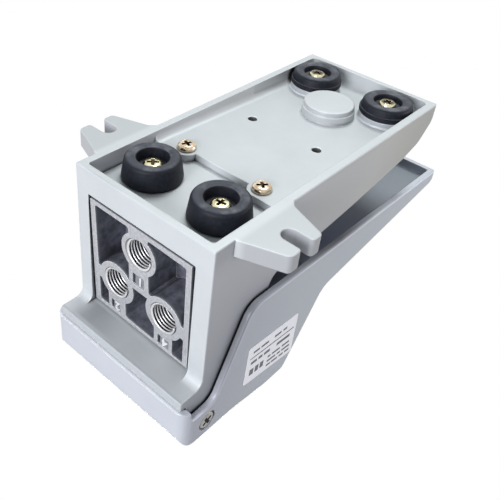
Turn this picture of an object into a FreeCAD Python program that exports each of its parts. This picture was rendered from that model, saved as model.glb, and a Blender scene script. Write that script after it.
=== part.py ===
import FreeCAD, Part
import math
import os

# All sizes are in millimetres. They are given in the housing's own frame: X across, minus Y towards the
# toe, plus Z up, with zero at the middle of the rear face, level with the rim that faces the ground.
# place() moves every finished piece so that zero is on the ground, below the middle of the object.

V = FreeCAD.Vector
TOE = V(0, -1, 0)
UP = V(0, 0, 1)
SIDES = (-1, 1)

# Housing casting
housing_half_width = 34.5
housing_length = 150.0
cast_wall = 3.0
rim_side_wall = 3.4
rim_rear_wall = 2.9
rim_front_wall = 2.8
rear_pocket_depth = 7.4
front_pocket_depth = 4.3
toe_pocket_depth = 7.3
step_past_screw = 0.6
valve_floor = 10.5
floor_past_flange = 2.0
floor_blend = 30.0
pocket_corner = 3.0
edge_round = 0.6
toe_corner = 1.6

# Rear box that holds the valve, and the ledge at its top
ledge_under = 65.8
ledge_top = 70.4
ledge_reach = 11.2
ledge_fillet = 4.0
box_short_of_valve = 2.5
box_top_round = 1.5
box_foot_round = 6.0
stem_hole_radius = 8.5
opening_left_wall = 6.6
opening_right_wall = 7.6
opening_low = 10.7
side_edge_at_box = 32.3
side_edge_bend = (90.0, 26.2)
side_edge_bend_round = 60.0
nose_start_from_toe = 22.5
nose_start_height = 20.6
nose_start_round = 12.0
nose_top_from_toe = 9.5
nose_top_height = 16.6
nose_top_round = 9.0
nose_front_from_toe = 0.7
nose_front_height = 8.2
nose_front_round = 7.0

# Ears with open slots, for the floor bolts
ear_reach = 17.8
ear_thickness = 7.45
ear_rear = 16.2
ear_front = 33.3
ear_root_rear = 9.2
ear_root_front = 39.0
ear_corner = 2.2
ear_root_sunk = 1.5
ear_root_flare = 1.9
ear_root_run = 4.6
ear_root_round = 5.0
ear_edge_round = 0.45
slot_middle = 25.0
slot_half_width = 3.25
slot_length = 7.15
slot_mouth_round = 1.5

# Rubber feet
foot_proud = 1.8
foot_top_radius = 10.7
foot_base_radius = 11.9
foot_hole_radius = 6.3
foot_edge_round = 1.9
foot_flange_height = 2.5
foot_flange_step = 0.45
rear_foot_from_side = 17.5
rear_foot_from_step = 3.2
rear_foot_seat = 3.1
front_foot_from_side = 15.5
front_foot_from_toe = 17.9
front_foot_base = 4.2
front_foot_seat = 1.1
front_boss_radius = 11.6
root_flare = 1.7
root_height = 2.0

# Screws, M4 with pan heads
m4_radius = 1.95
m4_tapped_radius = 2.0
m4_clear_radius = 2.25
pan_head_radius = 3.9
pan_head_height = 2.3
pan_head_round = 1.2
screw_boss_radius = 5.5
valve_screw_from_side = 15.4
valve_screw_from_flange_end = 5.4
step_boss_radius = 5.6
foot_screw_end = 11.8
front_screw_end = 13.4
front_screw_boss_top = 14.0
valve_screw_end = 17.4

# Small countersunk holes in the floor
drain_from_side = 17.6
drain_pair_shift = -1.3
drain_from_cup = 30.9
drain_radius = 2.0
drain_mouth_radius = 2.3
drain_tool_run = 1.5

# Cup for the pedal's return spring; its closed end is the disc under the floor
cup_foot_gap = 2.131
cup_radius = 11.2
cup_ring_radius = 11.8
cup_ring_height = 2.2
cup_end = 0.6
cup_wall = 2.2
cup_floor = 3.0
cup_top = 16.0

# Pivot of the pedal
pivot_y = -1.0
pivot_z = 83.3
lug_width = 8.0
lug_round = 3.9
lug_rear = 8.1
lug_front = -12.0
lug_shoulder = 3.0
pivot_thread_radius = 2.45
pivot_tapped_radius = 2.5
pivot_thread_length = 8.0
pivot_shoulder_radius = 3.0
pivot_head_radius = 3.9
pivot_head_height = 1.4
pivot_running_fit = 0.05
side_gap = 0.25
pivot_bush_radius = 4.1
pivot_counterbore_radius = 4.6
pivot_web = 1.6
pivot_boss_radius = 7.0

# Pedal casting
flank_play = 0.7
flank_wall = 2.8
flank_corner_round = 2.2
pedal_wall = 3.0
skirt_rear = 12.3
skirt_low = 70.7
rear_top = 90.9
rear_top_round = 7.5
rear_corner_round = 5.5
shoulder_start = (-16.0, 91.5)
shoulder_start_round = 60.0
shoulder_top = (-38.0, 94.8)
shoulder_top_round = 40.0
shoulder_end = (-51.4, 94.8)
shoulder_round = 4.5
tread_start = (-72.7, 60.2)
tread_blend = 9.0
toe_overhang = 15.2
toe_top = 47.2
toe_round = 4.5
lip_toe = 40.8
lip_heel = 36.6
lip_corner = -21.4
lip_corner_round = 8.5
arch_top = 75.8
arch_corner = -4.4
arch_round = 6.7
arch_rear = 7.9
arch_rear_round = 2.0
pedal_edge_round = 1.2
toe_corner_round = 2.0
tread_bar_pitch = 10.5
tread_bar_from_heel = 13.3
tread_bar_from_toe = 16.2
tread_bar_from_side = 8.0
tread_bar_radius = 1.6
tread_bar_sunk = 0.9

# Valve body
valve_left_play = 0.9
valve_right_play = 1.8
valve_low = 12.2
valve_high = 64.5
face_recess_low = 0.2
face_recess_high = 1.45
flange_depth = 48.5
flange_reach = 11.5
flange_top = 18.5
recess_past_port = 2.1
recess_corner = 1.2
recess_side_wall = 2.4
supply_port = (-1.06, 23.84)
left_port = (-13.69, 46.45)
right_port = (12.21, 46.9)
port_radius = 6.6
port_mouth_radius = 6.9
port_floor = 5.5
port_throat_radius = 3.5
supply_boss_radius = 8.95
outlet_boss_radius = 9.5
passage_radius = 1.7
riser_radius = 2.2
riser_from_port_end = 2.9
figure_recess_depth = 0.7

# Spool and its bore
spool_x = -0.95
spool_from_valve_front = 12.0
bore_radius = 6.0
spool_running_fit = 0.05
land_level_plug_end = 24.9
land_level_low = 31.0
land_level_middle = 41.0
land_level_high = 51.0
land_level_bush_end = 56.8
land_half_width = 1.5
groove_half_width = 0.7
waist_radius = 4.3
ring_section = 0.62
level_exhaust_low = 28.5
level_left = 33.5
level_supply = 38.5
level_right = 43.5
level_exhaust_high = 48.5
exhaust_past_spool = 2.0
spool_bottom = 22.5
spool_top = 71.4
stem_radius = 4.0
spring_hole_radius = 3.3
spring_hole_top = 30.0

# End plug, guide bush and circlip
plug_flange_radius = 7.15
plug_pocket_radius = 7.2
plug_shoulder = 14.6
plug_top = 17.5
plug_bottom = 12.3
plug_ring_level = 16.1
bush_radius = 7.45
bush_pocket_radius = 7.5
bush_bottom = 58.8
bush_top = 62.6
stem_fit = 0.05
stem_ring_level = 60.7
stem_ring_section = 0.65
clip_radius = 8.2
clip_groove_radius = 8.3
clip_inner_radius = 6.2
clip_thickness = 1.0
clip_side_play = 0.05
clip_gap_half = 3.0

# Springs
spool_spring_radius = 2.55
spool_spring_wire = 0.35
spool_spring_turns = 6
pedal_spring_radius = 7.2
pedal_spring_wire = 0.8
pedal_spring_turns = 8
spring_pad_radius = 9.0
spring_pad_low = 48.9
spring_pad_sunk = 1.5

# Pusher screw and lock nut, M6
pusher_radius = 2.95
pusher_tapped_radius = 3.0
pusher_tip = 71.8
pusher_top = 89.0
pusher_hole_top = 89.3
pusher_boss_radius = 6.5
pusher_boss_low = 84.0
pusher_boss_top = 90.6
nut_across_flats = 10.0
nut_height = 5.0

# Places that follow from the sizes above, across
opening_left = opening_left_wall - housing_half_width
opening_right = housing_half_width - opening_right_wall
valve_left = opening_left + valve_left_play
valve_right = opening_right - valve_right_play
ear_tip = housing_half_width + ear_reach
slot_end_centre = ear_tip - slot_length
rear_foot_across = housing_half_width - rear_foot_from_side
front_foot_across = housing_half_width - front_foot_from_side
valve_screw_across = housing_half_width - valve_screw_from_side
drain_across = housing_half_width - drain_from_side
lug_face = housing_half_width
lug_inner = lug_face - lug_width
pedal_inner_half_width = lug_face + flank_play
pedal_half_width = pedal_inner_half_width + flank_wall
tread_bar_half_length = pedal_half_width - tread_bar_from_side

# Places that follow from the valve's length, from the rear face towards the toe
valve_depth = flange_depth - flange_reach
box_depth = valve_depth - box_short_of_valve
spool_y = spool_from_valve_front - valve_depth
exhaust_y = spool_y - exhaust_past_spool
port_depth = -spool_y - bore_radius - port_floor
riser_y = riser_from_port_end - port_depth
recess_depth = port_depth + recess_past_port
valve_floor_length = flange_depth + floor_past_flange
valve_screw_along = flange_depth - valve_screw_from_flange_end
step_distance = valve_screw_along - step_past_screw
step_side_distance = valve_screw_along - step_boss_radius
rear_foot_along = step_side_distance - foot_base_radius - rear_foot_from_step
lands = (land_level_plug_end, land_level_low, land_level_middle, land_level_high, land_level_bush_end)

# Places that follow from the housing's length
side_edge_at_nose = (housing_length - nose_start_from_toe, nose_start_height)
nose_top = (housing_length - nose_top_from_toe, nose_top_height)
nose_front = (housing_length - nose_front_from_toe, nose_front_height)
front_foot_along = housing_length - front_foot_from_toe
cup_foot_distance = foot_base_radius + cup_ring_radius + cup_foot_gap
cup_along = front_foot_along - math.sqrt(cup_foot_distance ** 2 - front_foot_across ** 2)
drain_along = cup_along - drain_from_cup
drain_fall = (toe_pocket_depth - front_pocket_depth) / (front_foot_along - step_distance)
drain_level = front_pocket_depth + drain_fall * (drain_along - step_distance)
toe_end = -(housing_length + toe_overhang)
tread_bar_first = tread_start[0] - tread_bar_from_heel
tread_bar_run = tread_bar_first - (toe_end + tread_bar_from_toe)
tread_bar_count = round(tread_bar_run / tread_bar_pitch) + 1


def arc_of(before, at, after, radius):
    ax = before[0] - at[0]
    ay = before[1] - at[1]
    bx = after[0] - at[0]
    by = after[1] - at[1]
    a_length = math.hypot(ax, ay)
    b_length = math.hypot(bx, by)
    ax, ay = ax / a_length, ay / a_length
    bx, by = bx / b_length, by / b_length
    half = math.acos(max(-1.0, min(1.0, ax * bx + ay * by))) / 2
    run = radius / math.tan(half)
    mx, my = ax + bx, ay + by
    m_length = math.hypot(mx, my)
    mx, my = mx / m_length, my / m_length
    reach = radius / math.sin(half) - radius
    start = (at[0] + ax * run, at[1] + ay * run)
    middle = (at[0] + mx * reach, at[1] + my * reach)
    end = (at[0] + bx * run, at[1] + by * run)
    return start, middle, end


def face_of(corners, lift):
    # Each corner is (a, b, radius); a radius of zero leaves it sharp.
    spans = []
    for index, corner in enumerate(corners):
        before = corners[index - 1]
        after = corners[(index + 1) % len(corners)]
        if corner[2] > 0:
            spans.append(arc_of(before, corner, after, corner[2]))
        else:
            spans.append((corner[:2], None, corner[:2]))
    edges = []
    for index, (start, middle, end) in enumerate(spans):
        if middle:
            edges.append(Part.Arc(lift(*start), lift(*middle), lift(*end)).toShape())
        next_start = spans[(index + 1) % len(spans)][0]
        if math.dist(end, next_start) > 1e-6:
            edges.append(Part.makeLine(lift(*end), lift(*next_start)))
    return Part.Face(Part.Wire(edges))


def prism_x(corners, x0, x1):
    face = face_of(corners, lambda y, z: V(x0, y, z))
    return face.extrude(V(x1 - x0, 0, 0))


def prism_y(corners, y0, y1):
    face = face_of(corners, lambda x, z: V(x, y0, z))
    return face.extrude(V(0, y1 - y0, 0))


def prism_z(corners, z0, z1):
    face = face_of(corners, lambda x, y: V(x, y, z0))
    return face.extrude(V(0, 0, z1 - z0))


def turned(corners, x=0.0, y=0.0):
    face = face_of(corners, lambda r, z: V(r, 0, z))
    body = face.revolve(V(0, 0, 0), UP, 360)
    body.translate(V(x, y, 0))
    return body


def rod(radius, x, y, z0, z1):
    return Part.makeCylinder(radius, z1 - z0, V(x, y, z0), UP)


def bar(radius, start, end):
    way = end - start
    return Part.makeCylinder(radius, way.Length, start, way)


def ring(centre_radius, section, x, y, z):
    return Part.makeTorus(centre_radius, section, V(x, y, z), UP)


def box(x0, x1, y0, y1, z0, z1):
    return Part.makeBox(x1 - x0, y1 - y0, z1 - z0, V(x0, y0, z0))


def rectangle(a0, a1, b0, b1, radius):
    return [(a0, b0, radius), (a1, b0, radius), (a1, b1, radius), (a0, b1, radius)]


def edges_of(shape, wanted):
    return [edge for edge in shape.Edges if wanted(edge.BoundBox)]


def fuse_all(shapes):
    body = shapes[0]
    for shape in shapes[1:]:
        body = body.fuse(shape)
    return body.removeSplitter()


def cut_all(body, tools):
    for tool in tools:
        body = body.cut(tool)
    return body


def coil(mean_radius, wire, turns, z0, z1, x, y):
    low = z0 + wire
    high = z1 - wire
    pitch = (high - low) / turns
    path = Part.makeHelix(pitch, high - low, mean_radius)
    lead = math.atan2(pitch, 2 * math.pi * mean_radius)
    square_to_path = V(0, math.cos(lead), math.sin(lead))
    centre = V(mean_radius, 0, 0)
    quarters = [Part.makeCircle(wire, centre, square_to_path, turn, turn + 90) for turn in (0, 90, 180, 270)]
    section = Part.Wire(quarters)
    spring = Part.Wire(path.Edges).makePipeShell([section], True, True)
    spring.translate(V(x, y, low))
    return spring


# Housing

def housing_outline():
    return [
        (0, 0, edge_round),
        (0, ledge_under, ledge_fillet),
        (ledge_reach, ledge_under, edge_round),
        (ledge_reach, ledge_top, edge_round),
        (-box_depth, ledge_top, box_top_round),
        (-box_depth, side_edge_at_box, box_foot_round),
        (-side_edge_bend[0], side_edge_bend[1], side_edge_bend_round),
        (-side_edge_at_nose[0], side_edge_at_nose[1], nose_start_round),
        (-nose_top[0], nose_top[1], nose_top_round),
        (-nose_front[0], nose_front[1], nose_front_round),
        (-housing_length, 0, edge_round),
    ]


def housing_cavity():
    half = housing_half_width - cast_wall
    top = ledge_top + 20
    near_floor = front_pocket_depth + cast_wall + 0.6
    far_floor = toe_pocket_depth + cast_wall
    corners = [
        (-cast_wall, valve_floor, 0.8),
        (-cast_wall, ledge_under, 0.8),
        (-box_depth - 6, ledge_under, 0),
        (-box_depth - 6, top, 0),
        (-nose_top[0] + cast_wall, top, 0),
        (-nose_top[0] + cast_wall, nose_top[1] - cast_wall, 2.0),
        (-nose_front[0] + nose_front_round, far_floor, 1.5),
        (-valve_floor_length, near_floor, 1.0),
        (-valve_floor_length, valve_floor, 1.0),
    ]
    return prism_x(corners, -half, half)


def floor_pocket():
    half = housing_half_width - rim_side_wall
    toe = -housing_length + rim_front_wall
    front = prism_x([
        (-step_side_distance, -1, 0),
        (-step_side_distance, front_pocket_depth, 0),
        (-step_distance, front_pocket_depth, 0),
        (-front_foot_along, toe_pocket_depth, floor_blend),
        (toe, toe_pocket_depth, pocket_corner),
        (toe, -1, 0),
    ], -half, half)
    long_edges = edges_of(front, lambda b: abs(abs(b.XMin) - half) < 0.01 and b.XLength < 0.01
                          and b.ZMin > 3 and b.YMax < -step_side_distance + 0.01 and b.YLength > 0.1)
    front = front.makeFillet(pocket_corner, long_edges)
    rear = prism_z([
        (-half, -rim_rear_wall, 1.5),
        (half, -rim_rear_wall, 1.5),
        (half, -step_side_distance, 0),
        (valve_screw_across, -step_side_distance, 0),
        (valve_screw_across, -step_distance, 0),
        (-valve_screw_across, -step_distance, 0),
        (-valve_screw_across, -step_side_distance, 0),
        (-half, -step_side_distance, 0),
    ], -1, rear_pocket_depth)
    for side in SIDES:
        boss = rod(step_boss_radius, side * valve_screw_across, -valve_screw_along, -2, rear_pocket_depth + 1)
        rear = rear.cut(boss)
    return front, rear


def ear(side):
    corners = [
        (side * (housing_half_width - ear_root_sunk), -ear_root_rear, 0),
        (side * ear_tip, -ear_rear, ear_corner),
        (side * ear_tip, -ear_front, ear_corner),
        (side * (housing_half_width + ear_root_flare), -ear_root_front, ear_root_round),
        (side * (housing_half_width - ear_root_sunk), -ear_root_front - ear_root_run, 0),
    ]
    plate = prism_z(corners, 0, ear_thickness)
    slot = rod(slot_half_width, side * slot_end_centre, -slot_middle, -1, ear_thickness + 1)
    mouth = box(min(side * slot_end_centre, side * (ear_tip + 2)), max(side * slot_end_centre, side * (ear_tip + 2)),
                -slot_middle - slot_half_width, -slot_middle + slot_half_width, -1, ear_thickness + 1)
    plate = plate.cut(slot).cut(mouth)
    tips = edges_of(plate, lambda b: b.ZLength > 7 and abs(abs(b.XMin) - ear_tip) < 0.05
                    and abs(b.YMin + slot_middle) < slot_half_width + 0.1)
    plate = plate.makeFillet(slot_mouth_round, tips)
    rims = edges_of(plate, lambda b: b.ZLength < 0.01 and abs(b.XMin + b.XMax) / 2 > housing_half_width + 0.6)
    return plate.makeFillet(ear_edge_round, rims)


def lug(side):
    near = side * lug_inner
    far = side * lug_face
    low = ledge_top - 1.0
    foot = prism_x([
        (lug_front, low, 0),
        (lug_rear, low, 0),
        (lug_rear, pivot_z - lug_shoulder, 1.5),
        (pivot_y + lug_round, pivot_z, 0),
        (pivot_y - lug_round, pivot_z, 0),
    ], near, far)
    head = bar(lug_round, V(near, pivot_y, pivot_z), V(far, pivot_y, pivot_z))
    hole = bar(pivot_tapped_radius, V(far + side, pivot_y, pivot_z),
               V(side * (lug_face - pivot_thread_length - 0.5), pivot_y, pivot_z))
    return foot.fuse(head), hole


def flared_boss(radius, x, y, low):
    top = toe_pocket_depth + 1
    return turned([
        (0, low, 0),
        (radius, low, 0.4),
        (radius, top - root_height, 1.0),
        (radius + root_flare, top, 0),
        (0, top, 0),
    ], x, y)


def base_housing():
    body = prism_x(housing_outline(), -housing_half_width, housing_half_width)
    uprights = edges_of(body, lambda b: b.XLength < 0.01 and abs(b.YMax) < 0.01 and b.ZLength > 30)
    body = body.makeFillet(edge_round, uprights)
    plan = prism_z([
        (-housing_half_width, ledge_reach + 1, 0),
        (housing_half_width, ledge_reach + 1, 0),
        (housing_half_width, -housing_length, toe_corner),
        (-housing_half_width, -housing_length, toe_corner),
    ], -1, ledge_top + 1)
    body = body.common(plan).cut(housing_cavity())
    front, rear = floor_pocket()
    body = body.cut(front).cut(rear)
    opening = prism_y(rectangle(opening_left, opening_right, opening_low, ledge_under, 0.8), -6, ledge_reach + 1)
    flat_top = box(opening_left, opening_right, -6, ledge_reach + 1, ledge_under - 2, ledge_under)
    body = body.cut(opening).cut(flat_top)
    added = [body, ear(-1), ear(1)]
    holes = []
    for side in SIDES:
        piece, hole = lug(side)
        added.append(piece)
        holes.append(hole)
        x = side * front_foot_across
        added.append(flared_boss(front_boss_radius, x, -front_foot_along, front_foot_base))
        added.append(rod(screw_boss_radius, x, -front_foot_along, toe_pocket_depth + 1, front_screw_boss_top))
        holes.append(rod(m4_tapped_radius, x, -front_foot_along, 0, front_screw_boss_top + 1))
        x = side * rear_foot_across
        added.append(rod(screw_boss_radius, x, -rear_foot_along, valve_floor - 1, valve_low))
        holes.append(rod(m4_tapped_radius, x, -rear_foot_along, 0, valve_low + 0.01))
        x = side * valve_screw_across
        added.append(rod(screw_boss_radius, x, -valve_screw_along, valve_floor - 1, valve_low))
        holes.append(rod(m4_clear_radius, x, -valve_screw_along, 0, valve_low + 0.01))
        x = side * drain_across + drain_pair_shift
        holes.append(rod(drain_radius, x, -drain_along, 0, drain_level + cast_wall + 5))
        holes.append(Part.makeCone(drain_mouth_radius + drain_tool_run, drain_radius,
                                   drain_mouth_radius + drain_tool_run - drain_radius,
                                   V(x, -drain_along, drain_level - drain_tool_run), UP))
    cup = turned([
        (0, cup_end, 0),
        (cup_radius, cup_end, 0.7),
        (cup_radius, cup_end + cup_ring_height, 0.25),
        (cup_ring_radius, cup_end + cup_ring_height + 0.3, 0.3),
        (cup_ring_radius, toe_pocket_depth + 1 - root_height, 1.0),
        (cup_ring_radius + root_flare, toe_pocket_depth + 1, 0),
        (cup_radius, toe_pocket_depth + 1, 0),
        (cup_radius, cup_top, 0.6),
        (0, cup_top, 0),
    ], 0, -cup_along)
    added.append(cup)
    holes.append(rod(cup_radius - cup_wall, 0, -cup_along, cup_end + cup_floor, cup_top + 1))
    holes.append(rod(stem_hole_radius, spool_x, spool_y, ledge_under - 1, ledge_top + 1))
    return cut_all(fuse_all(added), holes)


# Valve body and what it holds

def recess(corners, bosses):
    pocket = prism_y(corners, 2, -recess_depth)
    for (x, z), radius in bosses:
        pocket = pocket.cut(bar(radius, V(x, 4, z), V(x, -recess_depth - 2, z)))
    return pocket


def face_recesses():
    supply = (supply_port, supply_boss_radius)
    left = (left_port, outlet_boss_radius)
    right = (right_port, outlet_boss_radius)
    c = recess_corner
    left_end = valve_left + recess_side_wall
    right_end = valve_right - recess_side_wall
    return [
        recess([(left_end, 13.9, c), (-6.2, 13.9, c), (-6.3, 40.5, 0), (left_end + 0.3, 43.6, 0)], [supply, left]),
        recess([(3.6, 14.1, c), (right_end, 14.6, c), (right_end, 44.4, 0), (4.2, 40.0, 0)], [supply, right]),
        recess([(-6.0, 42.7, c), (4.5, 42.7, c), (7.4, 50, 0), (7.35, 62.8, c), (-9.0, 62.2, c), (-9.0, 50, 0)],
               [left, right]),
        recess([(left_end + 0.5, 49.6, 0.8), (-18.8, 49.6, 0), (-18.8, 62.4, 0.8), (left_end + 0.5, 62.4, 0.8)],
               [left]),
        recess([(17.0, 50.4, 0), (right_end, 50.4, 0.8), (right_end, 63.2, 0.8), (17.0, 63.2, 0.8)], [right]),
    ]


def face_y(z):
    lean = (face_recess_high - face_recess_low) / (valve_high - valve_low)
    return -face_recess_low - lean * (z - valve_low)


def figure_recess(x0, x1, z0, z1):
    return prism_y(rectangle(x0, x1, z0, z1, 0.6), 2, face_y(z0) - figure_recess_depth)


def port(place):
    x, z = place
    mouth = Part.makeCone(port_mouth_radius + 1.0, port_radius - 0.5, port_mouth_radius + 1.5 - port_radius,
                          V(x, face_y(z) + 1.0, z), TOE)
    bore = bar(port_radius, V(x, 2, z), V(x, -port_depth, z))
    return mouth.fuse(bore)


def passages():
    supply_x, supply_z = supply_port
    left_x, left_z = left_port
    right_x, right_z = right_port
    centre = spool_y
    return [
        rod(riser_radius, supply_x, riser_y, supply_z, level_supply + 1.5),
        bar(passage_radius, V(supply_x, riser_y, level_supply), V(spool_x, centre + 3, level_supply)),
        bar(port_throat_radius, V(left_x, -port_depth + 1, left_z), V(left_x, centre + 1, left_z)),
        bar(passage_radius, V(left_x, centre + 1, left_z), V(spool_x - 2, centre, level_left)),
        bar(port_throat_radius, V(right_x, -port_depth + 1, right_z), V(right_x, centre + 1, right_z)),
        bar(passage_radius, V(right_x, centre + 1, right_z), V(spool_x + 2, centre, level_right)),
        bar(passage_radius, V(spool_x, exhaust_y, level_exhaust_low),
            V(valve_right + 1, exhaust_y, level_exhaust_low)),
        bar(passage_radius, V(spool_x, exhaust_y, level_exhaust_high),
            V(valve_left - 1, exhaust_y, level_exhaust_high)),
    ]


def valve_body():
    body = prism_x([
        (-face_recess_low, valve_low, 0.4),
        (-face_recess_high, valve_high, 0.4),
        (-valve_depth, valve_high, 1.5),
        (-valve_depth, flange_top, 2.0),
        (-flange_depth, flange_top, 1.5),
        (-flange_depth, valve_low, 0.4),
    ], valve_left, valve_right)
    body = cut_all(body, face_recesses())
    body = body.cut(figure_recess(-4.4, 2.0, 34.4, 40.0))
    body = body.cut(figure_recess(-17.4, -11.9, 57.5, 62.5))
    body = body.cut(figure_recess(9.2, 15.5, 57.4, 62.7))
    for place in (supply_port, left_port, right_port):
        body = body.cut(port(place))
    body = body.cut(rod(bore_radius, spool_x, spool_y, valve_low - 1, valve_high + 1))
    body = body.cut(rod(plug_pocket_radius, spool_x, spool_y, valve_low - 1, plug_shoulder))
    body = body.cut(rod(bush_pocket_radius, spool_x, spool_y, bush_bottom, valve_high + 1))
    groove_low = bush_top - clip_side_play
    body = body.cut(rod(clip_groove_radius, spool_x, spool_y, groove_low,
                        bush_top + clip_thickness + clip_side_play))
    body = cut_all(body, passages())
    for side in SIDES:
        body = body.cut(rod(m4_tapped_radius, side * valve_screw_across, -valve_screw_along,
                            valve_low - 1, flange_top + 1))
    return body


def valve_spool():
    land = bore_radius - spool_running_fit
    groove = land - 2 * ring_section - 0.03
    corners = [(spring_hole_radius, spool_bottom, 0)]
    for index, level in enumerate(lands):
        low = level - land_half_width
        high = level + land_half_width
        if index == 0:
            low = spool_bottom
        corners.append((waist_radius if index else land, low, 0))
        if index:
            corners.append((land, low, 0))
        corners.append((land, level - groove_half_width, 0))
        corners.append((groove, level - groove_half_width, 0))
        corners.append((groove, level + groove_half_width, 0))
        corners.append((land, level + groove_half_width, 0))
        corners.append((land, high, 0))
        corners.append((stem_radius if level == lands[-1] else waist_radius, high, 0))
    corners.append((stem_radius, spool_top - 1.0, 0))
    corners.append((stem_radius - 1.6, spool_top, 0))
    corners.append((0, spool_top, 0))
    corners.append((0, spring_hole_top, 0))
    corners.append((spring_hole_radius, spring_hole_top - 1.6, 0))
    return turned(corners, spool_x, spool_y)


def spool_seals():
    middle = bore_radius - spool_running_fit - ring_section
    return Part.makeCompound([ring(middle, ring_section, spool_x, spool_y, level) for level in lands])


def end_plug():
    spigot = bore_radius - 0.05
    groove = spigot - 2 * ring_section - 0.03
    body = turned([
        (0, plug_bottom, 0),
        (plug_flange_radius, plug_bottom, 0.3),
        (plug_flange_radius, plug_shoulder, 0),
        (spigot, plug_shoulder, 0),
        (spigot, plug_ring_level - groove_half_width, 0),
        (groove, plug_ring_level - groove_half_width, 0),
        (groove, plug_ring_level + groove_half_width, 0),
        (spigot, plug_ring_level + groove_half_width, 0),
        (spigot, plug_top, 0.3),
        (0, plug_top, 0),
    ], spool_x, spool_y)
    slot = box(spool_x - 5, spool_x + 5, spool_y - 0.6, spool_y + 0.6, plug_bottom - 1, plug_bottom + 1.2)
    return body.cut(slot)


def end_plug_o_ring():
    return ring(bore_radius - 0.05 - ring_section, ring_section, spool_x, spool_y, plug_ring_level)


def spool_guide_bush():
    inner = stem_radius + stem_fit
    seat = inner + 2 * stem_ring_section + 0.03
    half = stem_ring_section + 0.05
    return turned([
        (inner, bush_bottom, 0),
        (bush_radius, bush_bottom, 0),
        (bush_radius, bush_top, 0),
        (inner, bush_top, 0),
        (inner, stem_ring_level + half, 0),
        (seat, stem_ring_level + half, 0),
        (seat, stem_ring_level - half, 0),
        (inner, stem_ring_level - half, 0),
    ], spool_x, spool_y)


def stem_seal():
    return ring(stem_radius + stem_fit + stem_ring_section, stem_ring_section, spool_x, spool_y, stem_ring_level)


def guide_bush_circlip():
    clip = rod(clip_radius, spool_x, spool_y, bush_top, bush_top + clip_thickness)
    clip = clip.cut(rod(clip_inner_radius, spool_x, spool_y, bush_top - 1, bush_top + 3))
    gap = box(spool_x - clip_gap_half, spool_x + clip_gap_half, spool_y - clip_radius - 1, spool_y,
              bush_top - 1, bush_top + 3)
    return clip.cut(gap)


def spool_return_spring():
    return coil(spool_spring_radius, spool_spring_wire, spool_spring_turns,
                plug_top, spring_hole_top - 1.6, spool_x, spool_y)


# Feet and screws

def foot(x, y, base, seat, flange):
    top = -foot_proud
    outer = [(foot_base_radius, base - 1.4, 0.9)]
    if flange:
        inner = foot_base_radius - foot_flange_step
        outer = [
            (inner, base - flange, 0.2),
            (foot_base_radius, base - flange, 0.3),
            (foot_base_radius, base - 0.5, 0.3),
        ]
    return turned([
        (m4_clear_radius, seat, 0),
        (foot_hole_radius - 0.3, seat, 0.5),
        (foot_hole_radius, top + 0.5, 0.5),
        (foot_hole_radius + 1.5, top, 0.8),
        (foot_top_radius, top, foot_edge_round),
    ] + outer + [
        (foot_base_radius - 0.5, base, 0),
        (m4_clear_radius, base, 0),
    ], x, y)


def pan_screw(x, y, seat, end):
    return turned([
        (0, seat - pan_head_height, 0),
        (pan_head_radius, seat - pan_head_height, pan_head_round),
        (pan_head_radius, seat, 0.2),
        (m4_radius, seat, 0),
        (m4_radius, end - 0.6, 0),
        (m4_radius - 0.5, end, 0),
        (0, end, 0),
    ], x, y)


def rear_foot_screws():
    return Part.makeCompound([pan_screw(side * rear_foot_across, -rear_foot_along, rear_foot_seat, foot_screw_end)
                              for side in SIDES])


def front_foot_screws():
    return Part.makeCompound([pan_screw(side * front_foot_across, -front_foot_along, front_foot_seat,
                                        front_screw_end) for side in SIDES])


def valve_screws():
    return Part.makeCompound([pan_screw(side * valve_screw_across, -valve_screw_along, front_pocket_depth,
                                        valve_screw_end) for side in SIDES])


# Pedal and what turns with it

def pedal_top():
    return [
        (skirt_rear, rear_top, rear_top_round),
        (shoulder_start[0], shoulder_start[1], shoulder_start_round),
        (shoulder_top[0], shoulder_top[1], shoulder_top_round),
        (shoulder_end[0], shoulder_end[1], shoulder_round),
        (tread_start[0], tread_start[1], tread_blend),
        (toe_end, toe_top, toe_round),
    ]


def inset(path, distance):
    # Moves an open path of corners sideways by a distance, towards the inside of the pedal.
    moved = []
    for index in range(1, len(path) - 1):
        before, at, after = path[index - 1], path[index], path[index + 1]
        first = math.atan2(at[1] - before[1], at[0] - before[0])
        second = math.atan2(after[1] - at[1], after[0] - at[0])
        middle = (first + second) / 2
        if abs(first - second) > math.pi:
            middle = middle + math.pi
        stretch = distance / math.cos(middle - first)
        moved.append((at[0] - math.sin(middle) * stretch, at[1] + math.cos(middle) * stretch, at[2]))
    return moved


def on_top_rim(edge):
    limits = edge.BoundBox
    middle = edge.valueAt((edge.FirstParameter + edge.LastParameter) / 2)
    if limits.XLength > 0.01 or abs(abs(middle.x) - pedal_half_width) > 0.01 or limits.YLength < 0.01:
        return False
    if middle.y > lip_corner - 4 and middle.z < arch_top + 0.1:
        return False
    return middle.z > lip_toe + 1.5


def pedal_shell():
    corners = [(skirt_rear, skirt_low, 0)]
    corners += pedal_top()
    corners += [
        (toe_end, lip_toe, edge_round),
        (lip_corner, lip_heel, lip_corner_round),
        (arch_corner, arch_top, arch_round),
        (arch_rear, arch_top, arch_rear_round),
        (arch_rear + 0.4, skirt_low, 0),
    ]
    profile = prism_x(corners, -pedal_half_width, pedal_half_width)
    plan = prism_z([
        (-pedal_half_width, skirt_rear, rear_corner_round),
        (pedal_half_width, skirt_rear, rear_corner_round),
        (pedal_half_width, toe_end, toe_corner_round),
        (-pedal_half_width, toe_end, toe_corner_round),
    ], 0, rear_top + 20)
    rounded = profile.makeFillet(pedal_edge_round, [edge for edge in profile.Edges if on_top_rim(edge)])
    return rounded.common(plan)


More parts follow.
